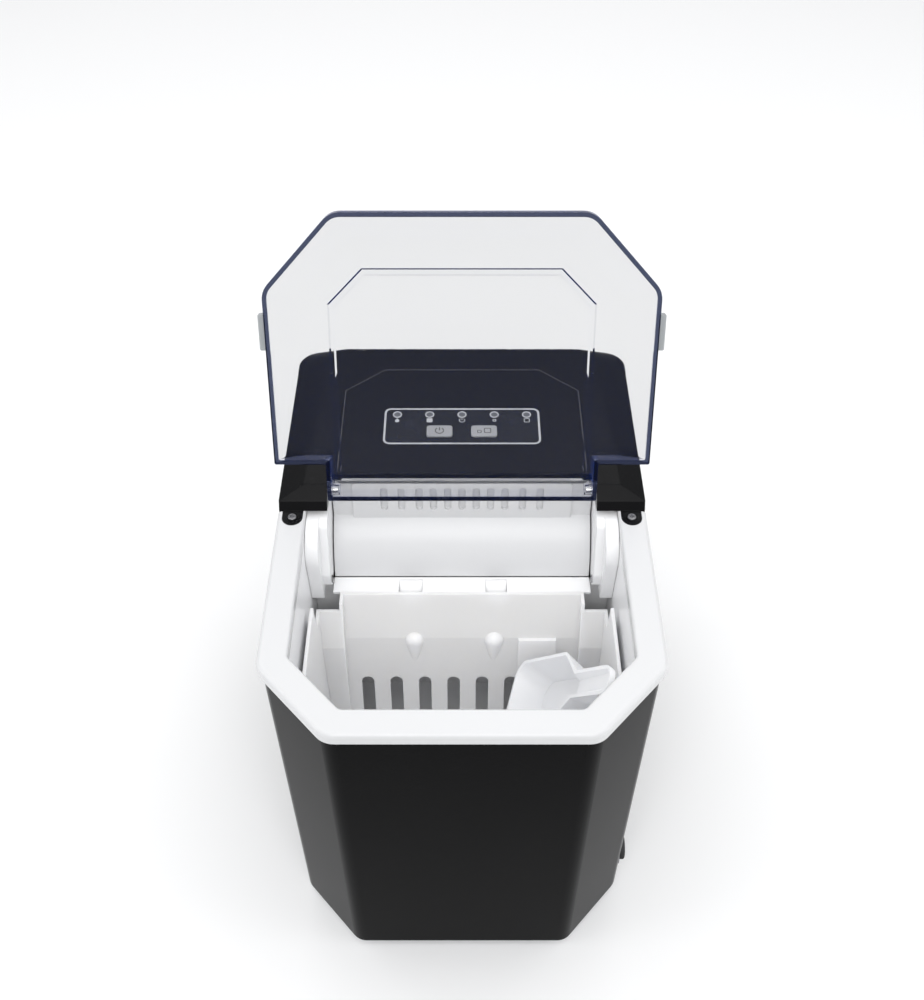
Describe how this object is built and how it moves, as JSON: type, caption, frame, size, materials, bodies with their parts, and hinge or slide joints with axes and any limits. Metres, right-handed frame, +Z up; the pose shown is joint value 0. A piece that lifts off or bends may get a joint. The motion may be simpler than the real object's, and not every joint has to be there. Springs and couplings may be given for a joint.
{
  "type": "ice maker",
  "caption": "Countertop ice maker with a clear lid hinged open, a lift-out ice basket with a scoop, and its freezing, water and cooling parts inside.",
  "frame": {"origin": "on the ground, midway between the sides and midway between the collar's front edge and the cover's rear edge", "axes": "+Z up, +X to the right of someone facing the front, +Y towards the back"},
  "size_m": [0.231, 0.302, 0.446],
  "materials": {
    "black_plastic": "satin moulded plastic",
    "label_film": "printed film",
    "white_plastic": "glossy moulded plastic",
    "frosted_plastic": "slightly milky moulded plastic",
    "clear_plastic": "clear blue-grey moulded plastic",
    "grip_plastic": "milky moulded plastic",
    "grey_button": "fine moulded",
    "lens": "diffusing lens",
    "sensor_black": "infrared window",
    "sensor_grey": "infrared window",
    "circuit_board": "solder mask",
    "bright_metal": "plated",
    "galvanised_steel": "zinc coated",
    "black_enamel": "stoved enamel",
    "copper": "drawn copper",
    "fin_aluminium": "mill finish",
    "valve_brass": "machined",
    "grey_plastic": "moulded",
    "soft_rubber": "moulded"
  },
  "bodies": {
    "cabinet": {"body_shell": "black_plastic", "rear_panel": "black_plastic", "top_cover": "black_plastic", "cord_inlet": "black_plastic", "fan_shroud": "black_plastic", "terminal_box": "black_plastic", "control_label": "label_film", "top_collar": "white_plastic", "inner_tank": "white_plastic", "partition": "white_plastic", "left_cheek": "white_plastic", "right_cheek": "white_plastic", "chamber_cover": "white_plastic", "led_lenses": "lens", "left_ice_sensor": "sensor_black", "right_ice_sensor": "sensor_grey", "display_board": "circuit_board", "main_board": "circuit_board", "cover_screws": "bright_metal", "rear_screws": "bright_metal", "lid_hinge_pins": "bright_metal", "compressor_bolts": "bright_metal", "evaporator": "bright_metal", "base_plate": "galvanised_steel", "compressor": "black_enamel", "evaporator_tube": "copper", "suction_pipe": "copper", "discharge_pipe": "copper", "liquid_pipe": "copper", "capillary_tube": "copper", "filter_drier": "copper", "condenser": "fin_aluminium", "hot_gas_valve": "valve_brass", "tray_motor": "grey_plastic", "water_pump": "grey_plastic", "water_probe": "grey_plastic", "fan_motor": "grey_plastic", "drain_spout": "grey_plastic", "feet": "soft_rubber", "compressor_mounts": "soft_rubber", "water_hose": "soft_rubber"},
    "lid": {"lid": "clear_plastic", "lid_grips": "grip_plastic"},
    "power_button": {"power_button": "grey_button"},
    "select_button": {"select_button": "grey_button"},
    "ice_shovel": {"ice_shovel": "white_plastic"},
    "water_tray": {"water_tray": "white_plastic", "tray_shafts": "bright_metal"},
    "ice_basket": {"ice_basket": "frosted_plastic"},
    "ice_scoop": {"ice_scoop": "frosted_plastic"},
    "drain_plug": {"drain_plug": "soft_rubber", "drain_gasket": "soft_rubber"},
    "fan_rotor": {"fan_rotor": "black_plastic"},
    "pump_impeller": {"pump_impeller": "grey_plastic"}
  },
  "joints": [
    {"name": "lid_hinge", "type": "hinge", "parent": "cabinet", "child": "lid", "pos_m": [0, 0.0173, 0.2869], "axis": [-1, 0, 0], "range_deg": [-111.5, 0]},
    {"name": "power_button_press", "type": "slide", "parent": "cabinet", "child": "power_button", "axis": [0, 0, -1], "range_m": [0, 0.0006], "stiffness_N_per_m": 500, "springref_m": -0.0004},
    {"name": "select_button_press", "type": "slide", "parent": "cabinet", "child": "select_button", "axis": [0, 0, -1], "range_m": [0, 0.0006], "stiffness_N_per_m": 500, "springref_m": -0.0004},
    {"name": "tray_tilt", "type": "hinge", "parent": "cabinet", "child": "water_tray", "pos_m": [0, 0.039, 0.24], "axis": [-1, 0, 0], "range_deg": [0, 60]},
    {"name": "shovel_swing", "type": "hinge", "parent": "cabinet", "child": "ice_shovel", "pos_m": [0, 0.031, 0.271], "axis": [-1, 0, 0], "range_deg": [0, 30.5]},
    {"name": "basket_lift", "type": "slide", "parent": "cabinet", "child": "ice_basket", "axis": [0, 0, 1], "range_m": [0, 0.2]},
    {"name": "scoop_lift", "type": "slide", "parent": "ice_basket", "child": "ice_scoop", "axis": [0, 0, 1], "range_m": [0, 0.12]},
    {"name": "drain_plug_pull", "type": "slide", "parent": "cabinet", "child": "drain_plug", "axis": [1, 0, 0], "range_m": [0, 0.02]},
    {"name": "fan_spin", "type": "hinge", "parent": "cabinet", "child": "fan_rotor", "pos_m": [-0.064, -0.048, 0.057], "axis": [1, 0, 0], "continuous": true},
    {"name": "impeller_spin", "type": "hinge", "parent": "cabinet", "child": "pump_impeller", "pos_m": [0.05, 0.0205, 0.114], "axis": [0, 0, 1], "continuous": true}
  ],
  "couplings": [
    {"joint": "shovel_swing", "follows": "tray_tilt", "ratio": 0.5}
  ]
}
